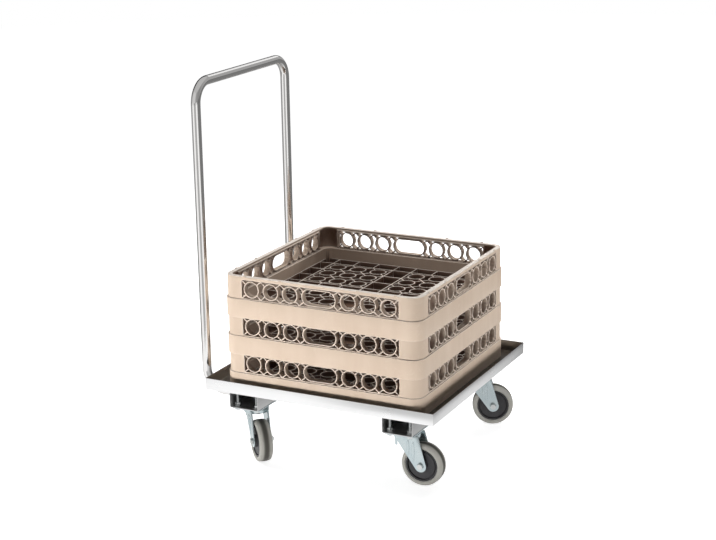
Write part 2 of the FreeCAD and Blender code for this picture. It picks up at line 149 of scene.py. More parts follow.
def new_effect(name, inputs, outputs):
    """An empty shader group with named sockets; returns it with its input and output nodes."""
    effect = bpy.data.node_groups.new(name, "ShaderNodeTree")
    for socket, kind in inputs.items():
        effect.interface.new_socket(name=socket, in_out="INPUT", socket_type="NodeSocket" + kind)
    for socket in outputs:
        effect.interface.new_socket(name=socket, in_out="OUTPUT", socket_type="NodeSocketFloat")
    return effect, effect.nodes.new("NodeGroupInput"), effect.nodes.new("NodeGroupOutput")


def new_finish(name):
    """A material with its tree and its shader."""
    material = bpy.data.materials.new(name)
    material.use_nodes = True
    return material, material.node_tree, material.node_tree.nodes["Principled BSDF"]


def set_bump(tree, shader, height, strength, depth):
    bump = add(tree, "Bump", {"Height": height, "Strength": strength, "Distance": depth})
    tree.links.new(bump.outputs["Normal"], shader.inputs["Normal"])


# Brushing: fine lines drawn out along the sheet, and the soft smudges of handling
steel_grain, grain_in, grain_out = new_effect(
    "steel_grain", {"Vector": "Vector", "Stretch": "Vector"}, ("Lines", "Smudges"))
drawn = add(steel_grain, "VectorMath", {0: grain_in.outputs["Vector"], 1: grain_in.outputs["Stretch"]},
            operation="MULTIPLY")
lines = add(steel_grain, "TexNoise", {"Vector": drawn.outputs[0], "Scale": 1.0, "Detail": 4.0})
smudges = add(steel_grain, "TexNoise", {"Vector": grain_in.outputs["Vector"], "Scale": 9.0, "Detail": 3.0})
steel_grain.links.new(lines.outputs[0], grain_out.inputs["Lines"])
steel_grain.links.new(smudges.outputs[0], grain_out.inputs["Smudges"])


# Painted shade: the dark colour painted over the tray's inside, for the reflections and shade of the racks.
PAINTED_SHADE_STEEL = (0.27, 0.265, 0.26)


def steel_finish(name, dark, light, smooth, dull, stretch, line_depth):
    """Bare steel: drawn lines in its colour and in its bump, smudges in its gloss, a painted shade where
    marked.
    """
    material, tree, shader = new_finish(name)
    place = add(tree, "TexCoord").outputs["Object"]
    grain = add(tree, "Group", node_tree=steel_grain)
    tree.links.new(place, grain.inputs["Vector"])
    grain.inputs["Stretch"].default_value = stretch
    wear_and_painted_light = add(tree, "Attribute", attribute_name="edge").outputs["Fac"]
    # Painted shade on the faces marked for it: the tray's inside.
    scuffs_and_painted_shade = add(tree, "Attribute", attribute_name="scuffs_and_painted_shade").outputs["Fac"]
    colour = blend_colour(tree, grain.outputs["Lines"], (*dark, 1), (*light, 1))
    colour = blend_colour(tree, wear_and_painted_light, colour, (*light, 1))
    tree.links.new(blend_colour(tree, scuffs_and_painted_shade, colour, (*PAINTED_SHADE_STEEL, 1)), shader.inputs["Base Color"])
    tree.links.new(spread(tree, grain.outputs["Smudges"], smooth, dull), shader.inputs["Roughness"])
    shader.inputs["Metallic"].default_value = 1.0
    if line_depth:
        set_bump(tree, shader, grain.outputs["Lines"], 0.15, line_depth)
    return material


TRAY_EDGE = 0.0004
TRAY_SHEET = 0.0015
CORNER_WELD = 0.0012
CORNER_WELD_SHARE = 0.85
FACING_UP = 0.9
FACING_IN = 0.1
tray_steel = steel_finish("tray_steel", (0.77, 0.77, 0.77), (0.91, 0.91, 0.91), 0.22, 0.36,
                          (5, 5, 1500), 0.0001)
tray = copy_of("tray")
round_edges(tray, sharp_edges(tray), TRAY_EDGE)
low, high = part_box("tray")
middle = middle_of("tray")
# Painted shade: faces that face up or inward are marked to be painted dark.
painted_tray_shade = tray.faces.layers.float.new("scuffs_and_painted_shade")
for face in tray.faces:
    inward = (middle - face.calc_center_median()).to_2d()
    if face.normal.z > FACING_UP or face.normal.to_2d().dot(inward) > FACING_IN * inward.length:
        face[painted_tray_shade] = 1.0
for corner_x in (low[0] + TRAY_SHEET, high[0] - TRAY_SHEET):
    for corner_y in (low[1] + TRAY_SHEET, high[1] - TRAY_SHEET):
        add_bead(tray, (corner_x, corner_y, middle.z), (0, 0, 1), CORNER_WELD_SHARE * (high[2] - low[2]),
                 CORNER_WELD)
add_piece("tray_sheet", tray, tray_steel, "trolley", "tray_steel", "tray")

# Channels
# Two U sections of 2 mm steel, open side up and with open ends, welded under the tray in short runs.
# They carry the casters, and the rear one carries the handle.
CHANNEL_EDGE = 0.0003
STITCH_LENGTH = 0.028
STITCH_PLACES = (-0.22, -0.11, 0.0, 0.11, 0.22)
STITCH_THICKNESS = 0.0022
BEAD_SINK = 1 / 3
channel_steel = steel_finish("channel_steel", (0.42, 0.42, 0.42), (0.55, 0.55, 0.55), 0.34, 0.48,
                             (900, 5, 900), 0.0001)
for end in ("front", "rear"):
    node = "channel_" + end
    channel = copy_of(node)
    round_edges(channel, sharp_edges(channel), CHANNEL_EDGE)
    low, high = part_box(node)
    for side in (low[0], high[0]):
        for stitch in STITCH_PLACES:
            add_bead(channel, (side, stitch, high[2] - BEAD_SINK * STITCH_THICKNESS), (0, 1, 0),
                     STITCH_LENGTH, STITCH_THICKNESS)
    add_piece(node + "_section", channel, channel_steel, "trolley", "channel_steel", node)

# Push handle
# One polished stainless tube, 22 mm across, bent four times, with no joint on the way.
# Its two lower runs are welded on to the wall of the rear channel.
TUBE_RADIUS = 0.011
TUBE_SIDES = 48
BEND_RADIUS = 0.05
BEND_STEPS = 20
WELD_THICKNESS = 0.0024
WELD_RIPPLES = 24
WELD_STEPS_PER_RIPPLE = 6


def run_tube(shape, ring, way):
    """Draws a ring of the tube out straight; returns its new end."""
    made = bmesh.ops.extrude_edge_only(shape, edges=ring)["geom"]
    end = [item for item in made if isinstance(item, bmesh.types.BMVert)]
    bmesh.ops.translate(shape, vec=way, verts=end)
    return [item for item in made if isinstance(item, bmesh.types.BMEdge) and item.is_boundary]


def bend_tube(shape, ring, centre, axis):
    """Turns a ring of the tube by a quarter about an axis; returns its new end."""
    made = bmesh.ops.spin(shape, geom=ring, cent=centre, axis=axis, angle=math.pi / 2, steps=BEND_STEPS)
    return [item for item in made["geom_last"] if isinstance(item, bmesh.types.BMEdge)]


def add_ring_weld(shape, centre):
    """The rippled bead round the end of a run, on the wall that it meets."""
    ring = bmesh.ops.create_circle(shape, segments=BEAD_SIDES, radius=WELD_THICKNESS)["verts"]
    stand = Vector(centre) + Vector((0, TUBE_RADIUS, 0))
    bmesh.ops.translate(shape, vec=stand, verts=ring)
    edges = list({edge for vert in ring for edge in vert.link_edges})
    before = set(shape.verts)
    bmesh.ops.spin(shape, geom=ring + edges, cent=centre, axis=(1, 0, 0), angle=2 * math.pi,
                   steps=WELD_STEPS_PER_RIPPLE * WELD_RIPPLES, use_merge=True)
    for vert in [vert for vert in shape.verts if vert not in before] + ring:
        out = Vector((0, vert.co.y - centre[1], vert.co.z - centre[2]))
        core = Vector(centre) + out.normalized() * TUBE_RADIUS
        vert.co = core + (vert.co - core) * rippled(WELD_RIPPLES * math.atan2(out.z, out.y))


tube_steel = steel_finish("tube_steel", (0.72, 0.71, 0.70), (0.78, 0.77, 0.76), 0.07, 0.13, (40, 40, 40), 0)
low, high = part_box("handle")
foot_x = high[0]
leg_x = low[0] + TUBE_RADIUS
leg_y = high[1] - TUBE_RADIUS
run_z = low[2] + TUBE_RADIUS
top_z = high[2] - TUBE_RADIUS
handle = bmesh.new()
bmesh.ops.create_circle(handle, segments=TUBE_SIDES, radius=TUBE_RADIUS, matrix=(
    Matrix.Translation((foot_x, -leg_y, run_z)) @ Matrix.Rotation(math.pi / 2, 4, "Y")))
first_ring = handle.edges[:]
lower_run = (leg_x + BEND_RADIUS - foot_x, 0, 0)
rise = (0, 0, top_z - run_z - 2 * BEND_RADIUS)
ring = run_tube(handle, first_ring, lower_run)
ring = bend_tube(handle, ring, (leg_x + BEND_RADIUS, -leg_y, run_z + BEND_RADIUS), (0, 1, 0))
ring = run_tube(handle, ring, rise)
ring = bend_tube(handle, ring, (leg_x, BEND_RADIUS - leg_y, top_z - BEND_RADIUS), (-1, 0, 0))
ring = run_tube(handle, ring, (0, 2 * (leg_y - BEND_RADIUS), 0))
ring = bend_tube(handle, ring, (leg_x, leg_y - BEND_RADIUS, top_z - BEND_RADIUS), (-1, 0, 0))
ring = run_tube(handle, ring, [-step for step in rise])
ring = bend_tube(handle, ring, (leg_x + BEND_RADIUS, leg_y, run_z + BEND_RADIUS), (0, -1, 0))
run_tube(handle, ring, [-step for step in lower_run])
bmesh.ops.remove_doubles(handle, verts=handle.verts, dist=MERGE_DISTANCE)
bmesh.ops.holes_fill(handle, edges=[edge for edge in handle.edges if edge.is_boundary])
for side in (-1, 1):
    add_ring_weld(handle, (foot_x - BEAD_SINK * WELD_THICKNESS, side * leg_y, run_z))
bmesh.ops.recalc_face_normals(handle, faces=handle.faces)
add_piece("handle_tube", handle, tube_steel, "trolley", "tube_steel", "handle")

# Caster plates, races and kingpins
# Pressed plates bolted up against the channels, with a greased ball race and a riveted pin.
# The plates have the cloudy blue cast of zinc plating, and the race and pin are dark with grease and with a
# painted shade for the shadow under the plate.
plating, plating_in, plating_out = new_effect("plating", {"Vector": "Vector"}, ("Clouds", "Grain"))
clouds = add(plating, "TexNoise", {"Vector": plating_in.outputs["Vector"], "Scale": 60.0, "Detail": 4.0})
grain = add(plating, "TexNoise", {"Vector": plating_in.outputs["Vector"], "Scale": 900.0, "Detail": 2.0})
plating.links.new(clouds.outputs[0], plating_out.inputs["Clouds"])
plating.links.new(grain.outputs[0], plating_out.inputs["Grain"])


def plated_finish(name, cool, warm, smooth, dull):
    """Zinc plate: clouds of a cooler and a warmer grey, and a fine grain."""
    material, tree, shader = new_finish(name)
    place = add(tree, "TexCoord").outputs["Object"]
    plate = add(tree, "Group", node_tree=plating)
    tree.links.new(place, plate.inputs["Vector"])
    tree.links.new(blend_colour(tree, plate.outputs["Clouds"], (*cool, 1), (*warm, 1)),
                   shader.inputs["Base Color"])
    tree.links.new(spread(tree, plate.outputs["Clouds"], smooth, dull), shader.inputs["Roughness"])
    shader.inputs["Metallic"].default_value = 1.0
    set_bump(tree, shader, plate.outputs["Grain"], 0.1, 0.0001)
    return material


def turned(profile, steps):
    """A shape turned about the Z axis, from points of radius and height."""
    shape = bmesh.new()
    last = shape.verts.new((profile[0][0], 0, profile[0][1]))
    for radius, height in profile[1:]:
        last = bmesh.ops.extrude_vert_indiv(shape, verts=[last])["verts"][0]
        last.co = (radius, 0, height)
    bmesh.ops.spin(shape, geom=shape.verts[:] + shape.edges[:], cent=(0, 0, 0), axis=(0, 0, 1),
                   angle=2 * math.pi, steps=steps, use_merge=True)
    bmesh.ops.remove_doubles(shape, verts=shape.verts, dist=MERGE_DISTANCE)
    bmesh.ops.recalc_face_normals(shape, faces=shape.faces)
    return shape


PLACES = ("front_right", "front_left", "rear_right", "rear_left")
PLATE_EDGE = 0.0004
RACE_BORE = 0.0063
RACE_CHAMFER = 0.0008
RACE_GROOVE = 0.0018
RACE_SIDES = 64
zinc_steel = plated_finish("zinc_steel", (0.40, 0.48, 0.51), (0.55, 0.60, 0.60), 0.18, 0.32)
# Darker than the plates: grease, and a painted shade for the shadow under the plate.
race_steel = plated_finish("race_steel", (0.10, 0.10, 0.10), (0.22, 0.21, 0.20), 0.30, 0.50)
for place in PLACES:
    for part, finish in (("plate", zinc_steel), ("kingpin", race_steel)):
        node = f"caster_{place}_{part}"
        shape = copy_of(node)
        round_edges(shape, sharp_edges(shape), PLATE_EDGE)
        add_piece(node + "_pressing", shape, finish, "trolley", "zinc_steel", node)
    node = f"caster_{place}_race"
    low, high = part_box(node)
    middle = middle_of(node)
    radius = (high[0] - low[0]) / 2
    lower = [(RACE_BORE, low[2]), (radius - RACE_CHAMFER, low[2]), (radius, low[2] + RACE_CHAMFER),
             (radius, middle.z - RACE_GROOVE / 2), (radius - RACE_GROOVE, middle.z - RACE_GROOVE / 4)]
    upper = [(out, 2 * middle.z - height) for out, height in reversed(lower)]
    race = turned(lower + upper + lower[:1], RACE_SIDES)
    bmesh.ops.translate(race, vec=(middle.x, middle.y, 0), verts=race.verts)
    add_piece(node + "_rings", race, race_steel, "trolley", "zinc_steel", node)

# Forks
# Pressed from 3 mm steel sheet and zinc plated: a round crown with a deep brow, and two tapering cheeks.
# Two upright ribs are pressed into each cheek below the crown, to stiffen it.
FORK_EDGE = 0.0007
CHEEK_OUTSIDE = 0.0215
RIB_PLACES = ((0.009, 0.091, 0.019), (0.0215, 0.083, 0.025))
RIB_HALF = (0.0032, 0.0016)


def caster_frame(place):
    """Where a caster stands: its X axis runs from the kingpin to the axle, its Z axis is the pin."""
    pin = middle_of(f"caster_{place}_kingpin")
    trail = middle_of(f"caster_{place}_wheel_tyre") - pin
    swing = math.atan2(trail.y, trail.x)
    return Matrix.Translation((pin.x, pin.y, 0)) @ Matrix.Rotation(swing, 4, "Z")


for place in PLACES:
    node = f"caster_{place}_fork"
    fork = copy_of(node)
    round_edges(fork, sharp_edges(fork), FORK_EDGE)
    stand = caster_frame(place)
    for side in (-1, 1):
        for rib_x, rib_z, rib_half in RIB_PLACES:
            rib = Matrix.Translation((rib_x, side * CHEEK_OUTSIDE, rib_z))
            rib = rib @ Matrix.Diagonal((*RIB_HALF, rib_half, 1))
            bmesh.ops.create_uvsphere(fork, u_segments=24, v_segments=16, radius=1.0, matrix=stand @ rib)
    add_piece(node + "_pressing", fork, zinc_steel, f"caster_{place}", "zinc_steel", node)

# Axles
# A hexagon bolt and nut through both cheeks, clamping the sleeve that the wheel turns on.
# All are zinc plated steel, paler than the forks.
THREAD_PITCH = 0.00125
THREAD_DEPTH = 0.0006
CHAMFER_SLOPE = math.tan(math.radians(30))
BOLT_RADIUS = 0.004
HEX_ACROSS = 0.013
HEAD_HEIGHT = 0.0053
NUT_HEIGHT = 0.0065
HEX_STEPS = 48
HEX_FACE = 0.95
ROD_STEPS = 24


def axle_frame(place):
    """Where an axle lies: its Z axis runs along it, and the wheel's middle is the origin."""
    hub = middle_of(f"caster_{place}_wheel_tyre")
    turn = caster_frame(place).to_3x3().to_4x4()
    return Matrix.Translation(hub) @ turn @ Matrix.Rotation(math.pi / 2, 4, "X")


def draw_in(shape, ring, radius, height):
    """Draws a ring in to a circle of its own at a height; returns the circle's edges."""
    made = bmesh.ops.extrude_edge_only(shape, edges=ring)["geom"]
    for vert in [item for item in made if isinstance(item, bmesh.types.BMVert)]:
        vert.co = Vector((vert.co.x, vert.co.y, 0)).normalized() * radius + Vector((0, 0, height))
    return [item for item in made if isinstance(item, bmesh.types.BMEdge) and item.is_boundary]


def hexagon(height, bore):
    """A hexagon with turned chamfers, standing on the origin, with or without a bore."""
    shape = bmesh.new()
    circle = HEX_FACE * HEX_ACROSS / 2
    for vert in bmesh.ops.create_circle(shape, segments=HEX_STEPS, radius=HEX_ACROSS / 2)["verts"]:
        turn = (math.atan2(vert.co.y, vert.co.x) + math.pi / 6) % (math.pi / 3) - math.pi / 6
        vert.co /= math.cos(turn)
        vert.co.z = (vert.co.length - circle) * CHAMFER_SLOPE
    lower = shape.edges[:]
    made = bmesh.ops.extrude_edge_only(shape, edges=lower)["geom"]
    for vert in [item for item in made if isinstance(item, bmesh.types.BMVert)]:
        vert.co.z = height - vert.co.z
    upper = [item for item in made if isinstance(item, bmesh.types.BMEdge) and item.is_boundary
             and item not in lower]
    top = draw_in(shape, upper, circle, height)
    foot = draw_in(shape, lower, circle, 0)
    if bore:
        mouths = draw_in(shape, top, bore, height) + draw_in(shape, foot, bore, 0)
        bmesh.ops.bridge_loops(shape, edges=mouths)
    else:
        bmesh.ops.holes_fill(shape, edges=top + foot)
    bmesh.ops.recalc_face_normals(shape, faces=shape.faces)
    return shape


def threaded_rod(plain, length):
    """A bolt's shank, plain and then threaded, with a chamfered end."""
    profile = [(0, 0), (BOLT_RADIUS, 0)]
    height = plain
    while height < length - THREAD_PITCH:
        profile += [(BOLT_RADIUS, height), (BOLT_RADIUS - THREAD_DEPTH, height + THREAD_PITCH / 2)]
        height += THREAD_PITCH
    profile += [(BOLT_RADIUS - THREAD_DEPTH, length), (0, length)]
    return turned(profile, ROD_STEPS)


def join(shape, part, stand):
    """Puts a part into a shape, where the matrix says."""
    bmesh.ops.transform(part, matrix=stand, verts=part.verts)
    mesh = bpy.data.meshes.new("part")
    part.to_mesh(mesh)
    part.free()
    shape.from_mesh(mesh)
    bpy.data.meshes.remove(mesh)


AXLE_END = 0.030
AXLE_THREAD = 0.012
FIRST_TURN = 0.3
NEXT_TURN = 0.4
bolt_steel = plated_finish("bolt_steel", (0.50, 0.53, 0.54), (0.64, 0.64, 0.62), 0.2, 0.34)
for number, place in enumerate(PLACES):
    axle = axle_frame(place)
    head = axle @ Matrix.Translation((0, 0, CHEEK_OUTSIDE))
    spun = Matrix.Rotation(FIRST_TURN + NEXT_TURN * number, 4, "Z")
    bolt = hexagon(HEAD_HEIGHT, 0)
    bmesh.ops.transform(bolt, matrix=head @ spun, verts=bolt.verts)
    rod = threaded_rod(CHEEK_OUTSIDE + AXLE_END - AXLE_THREAD, CHEEK_OUTSIDE + AXLE_END)
    join(bolt, rod, head @ Matrix.Rotation(math.pi, 4, "X"))
    node = f"caster_{place}_axle_bolt"
    add_piece(node + "_hexagon", bolt, bolt_steel, f"caster_{place}", "bolt_steel", node)
    nut = hexagon(NUT_HEIGHT, BOLT_RADIUS)
    seat = axle @ Matrix.Translation((0, 0, -CHEEK_OUTSIDE - NUT_HEIGHT))
    bmesh.ops.transform(nut, matrix=seat @ spun, verts=nut.verts)
    node = f"caster_{place}_axle_nut"
    add_piece(node + "_hexagon", nut, bolt_steel, f"caster_{place}", "bolt_steel", node)
    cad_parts[f"caster_{place}_axle_sleeve"].material_slots[0].material = bolt_steel

# Wheels
# A moulded plastic core with a groove round its face, and a solid grey rubber tyre moulded on it.
# The tyre is a little crowned, and the middle of its tread is painted nearly black, a painted shade.
moulding, moulding_in, moulding_out = new_effect(
    "moulding", {"Vector": "Vector", "Scale": "Float"}, ("Mottle", "Grain", "Scuffs", "Streaks"))
moulded_place = moulding_in.outputs["Vector"]


def moulding_noise(scale, **settings):
    """Noise over a moulded piece, finer where the group's Scale is larger."""
    size = add(moulding, "Math", {0: moulding_in.outputs["Scale"], 1: scale}, operation="MULTIPLY")
    noise = add(moulding, "TexNoise", {"Vector": moulded_place, "Scale": size.outputs[0], **settings})
    return noise.outputs[0]


scuffs = moulding_noise(70.0, Detail=5.0, Distortion=1.5)
rare = add(moulding, "MapRange", {"Value": scuffs, "From Min": 0.58, "From Max": 0.74})
upright = add(moulding, "VectorMath", {0: moulded_place, 1: (1, 1, 0.05)}, operation="MULTIPLY")
streaks = add(moulding, "TexNoise", {"Vector": upright.outputs[0], "Scale": 40.0, "Detail": 2.0})
moulding.links.new(moulding_noise(12.0, Detail=4.0), moulding_out.inputs["Mottle"])
moulding.links.new(moulding_noise(1400.0, Detail=1.0), moulding_out.inputs["Grain"])
moulding.links.new(rare.outputs[0], moulding_out.inputs["Scuffs"])
moulding.links.new(streaks.outputs[0], moulding_out.inputs["Streaks"])


# Painted shade: the dark colour painted into the racks' floor cells and inner walls, where shade falls.
HOLLOW_SHADE = (0.21, 0.135, 0.095)


def moulded_finish(name, dark, light, scuffs_and_painted_shade, wear_and_painted_light, scale, smooth, dull, deep=None):
    """Plastic or rubber: a mottled, faintly streaked colour, pale rubs, painted highlight and painted shade
    on marked places, a fine skin.
    The painted light on places marked edge is a colour and its share, and so is deep, for light that goes on
    from here into hollows."""
    material, tree, shader = new_finish(name)
    place = add(tree, "TexCoord").outputs["Object"]
    mould = add(tree, "Group", node_tree=moulding)
    tree.links.new(place, mould.inputs["Vector"])
    mould.inputs["Scale"].default_value = scale
    tone = add(tree, "Math", {0: mould.outputs["Mottle"], 1: mould.outputs["Streaks"]}, operation="ADD")
    tone = add(tree, "MapRange", {"Value": tone.outputs[0], "From Min": 0.6, "From Max": 1.4}).outputs[0]
    colour = blend_colour(tree, tone, (*dark, 1), (*light, 1))
    rub = spread(tree, mould.outputs["Scuffs"], 0.0, 0.3)
    colour = blend_colour(tree, rub, colour, (*scuffs_and_painted_shade, 1))
    # Painted light on faces marked edge: highlights on racks and cores, shade on the tyre's tread.
    painted_light_place = add(tree, "Attribute", attribute_name="edge").outputs["Fac"]
    colour = blend_colour(tree, spread(tree, painted_light_place, 0.0, wear_and_painted_light[3]), colour, (*wear_and_painted_light[:3], 1))
    # Painted shade, on the faces marked for it.
    painted_hollow_shade = add(tree, "Attribute", attribute_name="painted_hollow_shade").outputs["Fac"]
    colour = blend_colour(tree, painted_hollow_shade, colour, (*HOLLOW_SHADE, 1))
    if deep:
        handed_on = add(tree, "LightPath").outputs["Is Diffuse Ray"]
        colour = blend_colour(tree, spread(tree, handed_on, 0.0, deep[3]), colour, (*deep[:3], 1))
    tree.links.new(colour, shader.inputs["Base Color"])
    tree.links.new(spread(tree, mould.outputs["Mottle"], smooth, dull), shader.inputs["Roughness"])
    set_bump(tree, shader, mould.outputs["Grain"], 0.15, 0.0001)
    return material


CORE_EDGE = 0.0005
TYRE_RADIUS = 0.05
TYRE_HALF_WIDTH = 0.016
TYRE_SEAT = 0.0385
TYRE_HALF_BEAD = 0.014
SHOULDER_RADIUS = 0.007
SHOULDER_STEPS = 6
CROWN_DROP = 0.0006
TREAD_BAND = 0.009
TREAD_FADE = 0.005
TYRE_SIDES = 96
# The core's fourth colour makes its rounded edges paler, a painted highlight.
core_plastic = moulded_finish("core_plastic", (0.010, 0.0095, 0.011), (0.030, 0.029, 0.031),
                              (0.10, 0.10, 0.10), (0.06, 0.06, 0.06, 0.5), 4.0, 0.35, 0.55)
# The tyre's fourth colour is near black, a painted shade on the middle of the tread.
tyre_rubber = moulded_finish("tyre_rubber", (0.32, 0.31, 0.28), (0.42, 0.41, 0.375),
                             (0.46, 0.45, 0.42), (0.03, 0.027, 0.02, 0.95), 2.0, 0.55, 0.75)
flank = TYRE_HALF_WIDTH - TYRE_HALF_BEAD
shoulder_at = TYRE_HALF_WIDTH - SHOULDER_RADIUS
tyre_side = [(TYRE_SEAT, TYRE_HALF_BEAD), (TYRE_SEAT + flank, TYRE_HALF_WIDTH)]
for step in range(SHOULDER_STEPS + 1):
    angle = math.pi / 2 * step / SHOULDER_STEPS
    tyre_side.append((TYRE_RADIUS - CROWN_DROP - SHOULDER_RADIUS * (1 - math.sin(angle)),
                      shoulder_at + SHOULDER_RADIUS * math.cos(angle)))
tyre_side += [(TYRE_RADIUS - CROWN_DROP / 4, shoulder_at / 2),
              (TYRE_RADIUS - CROWN_DROP / 12, shoulder_at / 4)]
other_side = [(radius, -height) for radius, height in reversed(tyre_side)]
tyre_profile = tyre_side + [(TYRE_RADIUS, 0)] + other_side + tyre_side[:1]
for place in PLACES:
    node = f"caster_{place}_wheel_core"
    shape = copy_of(node)
    round_edges(shape, sharp_edges(shape), CORE_EDGE)
    add_piece(node + "_moulding", shape, core_plastic, f"wheel_{place}", "core_plastic", node)
    node = f"caster_{place}_wheel_tyre"
    tyre = turned(tyre_profile, TYRE_SIDES)
    painted_tread_shade = tyre.verts.layers.float.new("edge")
    # Painted shade: the middle of the tread is marked to be painted dark.
    for vert in tyre.verts:
        on_tread = math.hypot(vert.co.x, vert.co.y) > TYRE_RADIUS - 2 * CROWN_DROP
        vert[painted_tread_shade] = min(1, max(0, (TREAD_BAND - abs(vert.co.z)) / TREAD_FADE)) if on_tread else 0
    bmesh.ops.transform(tyre, matrix=axle_frame(place), verts=tyre.verts)
    add_piece(node + "_ring", tyre, tyre_rubber, f"wheel_{place}", "tyre_rubber", node)

# Fixing bolts
# Sixteen M8 hexagon bolts from below, through plate and channel, with washers and nuts inside.
# They are plated like the axles, and each was tightened to a turn of its own.
BOLT_SPACING = (0.050, 0.080)
BOLT_PLAIN = 0.009
WASHER_EDGE = 0.0002
BOLT_TURN = 0.37
washers = copy_of("caster_washers")
round_edges(washers, sharp_edges(washers), WASHER_EDGE, 1)
add_piece("caster_washers_pressed", washers, bolt_steel, "trolley", "bolt_steel", "caster_washers")
bolts = bmesh.new()
nuts = bmesh.new()
head_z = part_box("caster_bolts")[0][2]
rod_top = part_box("caster_bolts")[1][2]
nut_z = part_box("caster_nuts")[0][2]
turn = 0.0
for place in PLACES:
    middle = middle_of(f"caster_{place}_plate")
    for step_x in (-0.5, 0.5):
        for step_y in (-0.5, 0.5):
            at_x = middle.x + step_x * BOLT_SPACING[0]
            at_y = middle.y + step_y * BOLT_SPACING[1]
            turn += BOLT_TURN
            spun = Matrix.Rotation(turn, 4, "Z")
            join(bolts, hexagon(HEAD_HEIGHT, 0), Matrix.Translation((at_x, at_y, head_z)) @ spun)
            neck = head_z + HEAD_HEIGHT
            join(bolts, threaded_rod(BOLT_PLAIN, rod_top - neck), Matrix.Translation((at_x, at_y, neck)))
            join(nuts, hexagon(NUT_HEIGHT, BOLT_RADIUS), Matrix.Translation((at_x, at_y, nut_z)) @ spun)
add_piece("caster_bolts_hexagon", bolts, bolt_steel, "trolley", "bolt_steel", "caster_bolts")
add_piece("caster_nuts_hexagon", nuts, bolt_steel, "trolley", "bolt_steel", "caster_nuts")

# Racks
# Three crates of beige plastic, each moulded in one piece with ring lattices for walls and floor.
# They stand loose on the tray, each with its skirt over the rim of the one below.
# Rims, floor ribs and rounded edges are painted pale, a painted highlight, and the cells of the floor and,
# less, the walls inside are painted dark, a painted shade.
RACK_EDGE = 0.0005
RIM_STOP = 0.0015
FLOOR_FOOT = 0.0015
FLOOR_REACH = 0.0002
FLOOR_TOP = 0.017
FLOOR_CROWN = 0.0178
FLOOR_HALF = 0.2275
RIB_HIGHLIGHT_SHARE = 0.7
WALL_SHADE_SHARE = 0.35
WALL_FACING_IN = 0.5
SAME_HEIGHT = 0.0002
# The fourth colour is painted on marked places: a painted highlight on rims, floor rib tops and rounded
# edges.
rack_plastic = moulded_finish("rack_plastic", (0.67, 0.525, 0.405), (0.75, 0.605, 0.48),
                              (0.80, 0.68, 0.57), (0.92, 0.85, 0.78, 0.8), 1.0, 0.40, 0.52,
                              (0.10, 0.035, 0.018, 0.95))
for level in ("bottom", "middle", "top"):
    node = "rack_" + level
    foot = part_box(node)[0][2]
    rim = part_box(node)[1][2] - RIM_STOP
    middle = middle_of(node)
    shape = copy_of(node)
    # The floor's ribs reach a little lower and higher than in CAD, which closes slits of light
    for vert in shape.verts:
        for old, new in ((FLOOR_FOOT, FLOOR_REACH), (FLOOR_TOP, FLOOR_CROWN)):
            if abs(vert.co.z - foot - old) < SAME_HEIGHT:
                vert.co.z = foot + new
    round_edges(shape, sharp_edges(shape), RACK_EDGE)
    painted_highlight = shape.faces.layers.float["edge"]
    painted_hollow_shade = shape.faces.layers.float.new("painted_hollow_shade")
    for face in shape.faces:
        spot = face.calc_center_median()
        inward = (middle - spot).to_2d()
        # Painted highlight: rim tops fully, floor rib tops less.
        if face.normal.z > FACING_UP and abs(spot.z - rim) < SAME_HEIGHT:
            face[painted_highlight] = 1.0
        elif face.normal.z > FACING_UP and abs(spot.z - foot - FLOOR_CROWN) < SAME_HEIGHT:
            face[painted_highlight] = RIB_HIGHLIGHT_SHARE
        elif face[painted_highlight]:
            continue
        # Painted shade: the floor's cells fully, and walls facing inward less.
        elif spot.z - foot < FLOOR_CROWN and max(abs(inward.x), abs(inward.y)) < FLOOR_HALF:
            face[painted_hollow_shade] = 1.0
        elif face.normal.to_2d().dot(inward) > WALL_FACING_IN * inward.length:
            face[painted_hollow_shade] = WALL_SHADE_SHARE
    add_piece(node + "_crate", shape, rack_plastic, node, "rack_plastic", node)

# Studio
# A plain white floor under soft light. Bare metal mirrors the floor nearby, and further off
# the pale and dark sides of the room. From below, the floor is clear.


def sides_of_the_room(tree, place, levels):
    """Grey levels round the object, from points of turn and level, for a place or a direction."""
    around = add(tree, "TexGradient", {"Vector": place}, gradient_type="RADIAL")
    ramp = add(tree, "ValToRGB", {"Fac": around.outputs["Fac"]})
    while len(ramp.color_ramp.elements) < len(levels):
        ramp.color_ramp.elements.new(1.0)
    for element, (turn, level) in zip(ramp.color_ramp.elements, levels):
        element.position = turn
        element.color = (level, level, level, 1)
    return ramp.outputs["Color"]


def seen_in_a_mirror(tree, path):
    """1 for a ray that comes off bare metal or through a clear piece, 0 for any other."""
    rays = add(tree, "Math", {0: path.outputs["Is Glossy Ray"], 1: path.outputs["Is Transmission Ray"]},
               operation="MAXIMUM")
    return rays.outputs[0]


FAR_SIDES = ((0.0, 0.3), (0.08, 0.3), (0.10, 0.95), (0.195, 0.95), (0.215, 0.42), (0.32, 0.42),
             (0.335, 0.95), (0.42, 0.95), (0.445, 0.2), (0.62, 0.18), (0.80, 0.2), (0.83, 0.3), (1.0, 0.3))
NEAR_SIDES = ((0.0, 0.7), (0.125, 0.95), (0.27, 1.0), (0.36, 0.95), (0.44, 0.7), (0.5, 0.65), (0.60, 0.72),
              (0.68, 0.5), (0.75, 0.3), (0.90, 0.4), (1.0, 0.7))
FLOOR_RADIUS = 8.0
FLOOR_GLOW = 0.8
FLOOR_TONE = 0.6
GLOW_NEAR = 1.0
GLOW_FAR = 2.5
NEARBY = 1.0
FURTHER_OFF = 1.1
MIRROR_STRENGTH = 1.25
floor_shape = bmesh.new()
bmesh.ops.create_circle(floor_shape, segments=96, radius=FLOOR_RADIUS, cap_ends=True)
floor_mesh = bpy.data.meshes.new("floor")
floor_shape.to_mesh(floor_mesh)
floor_shape.free()
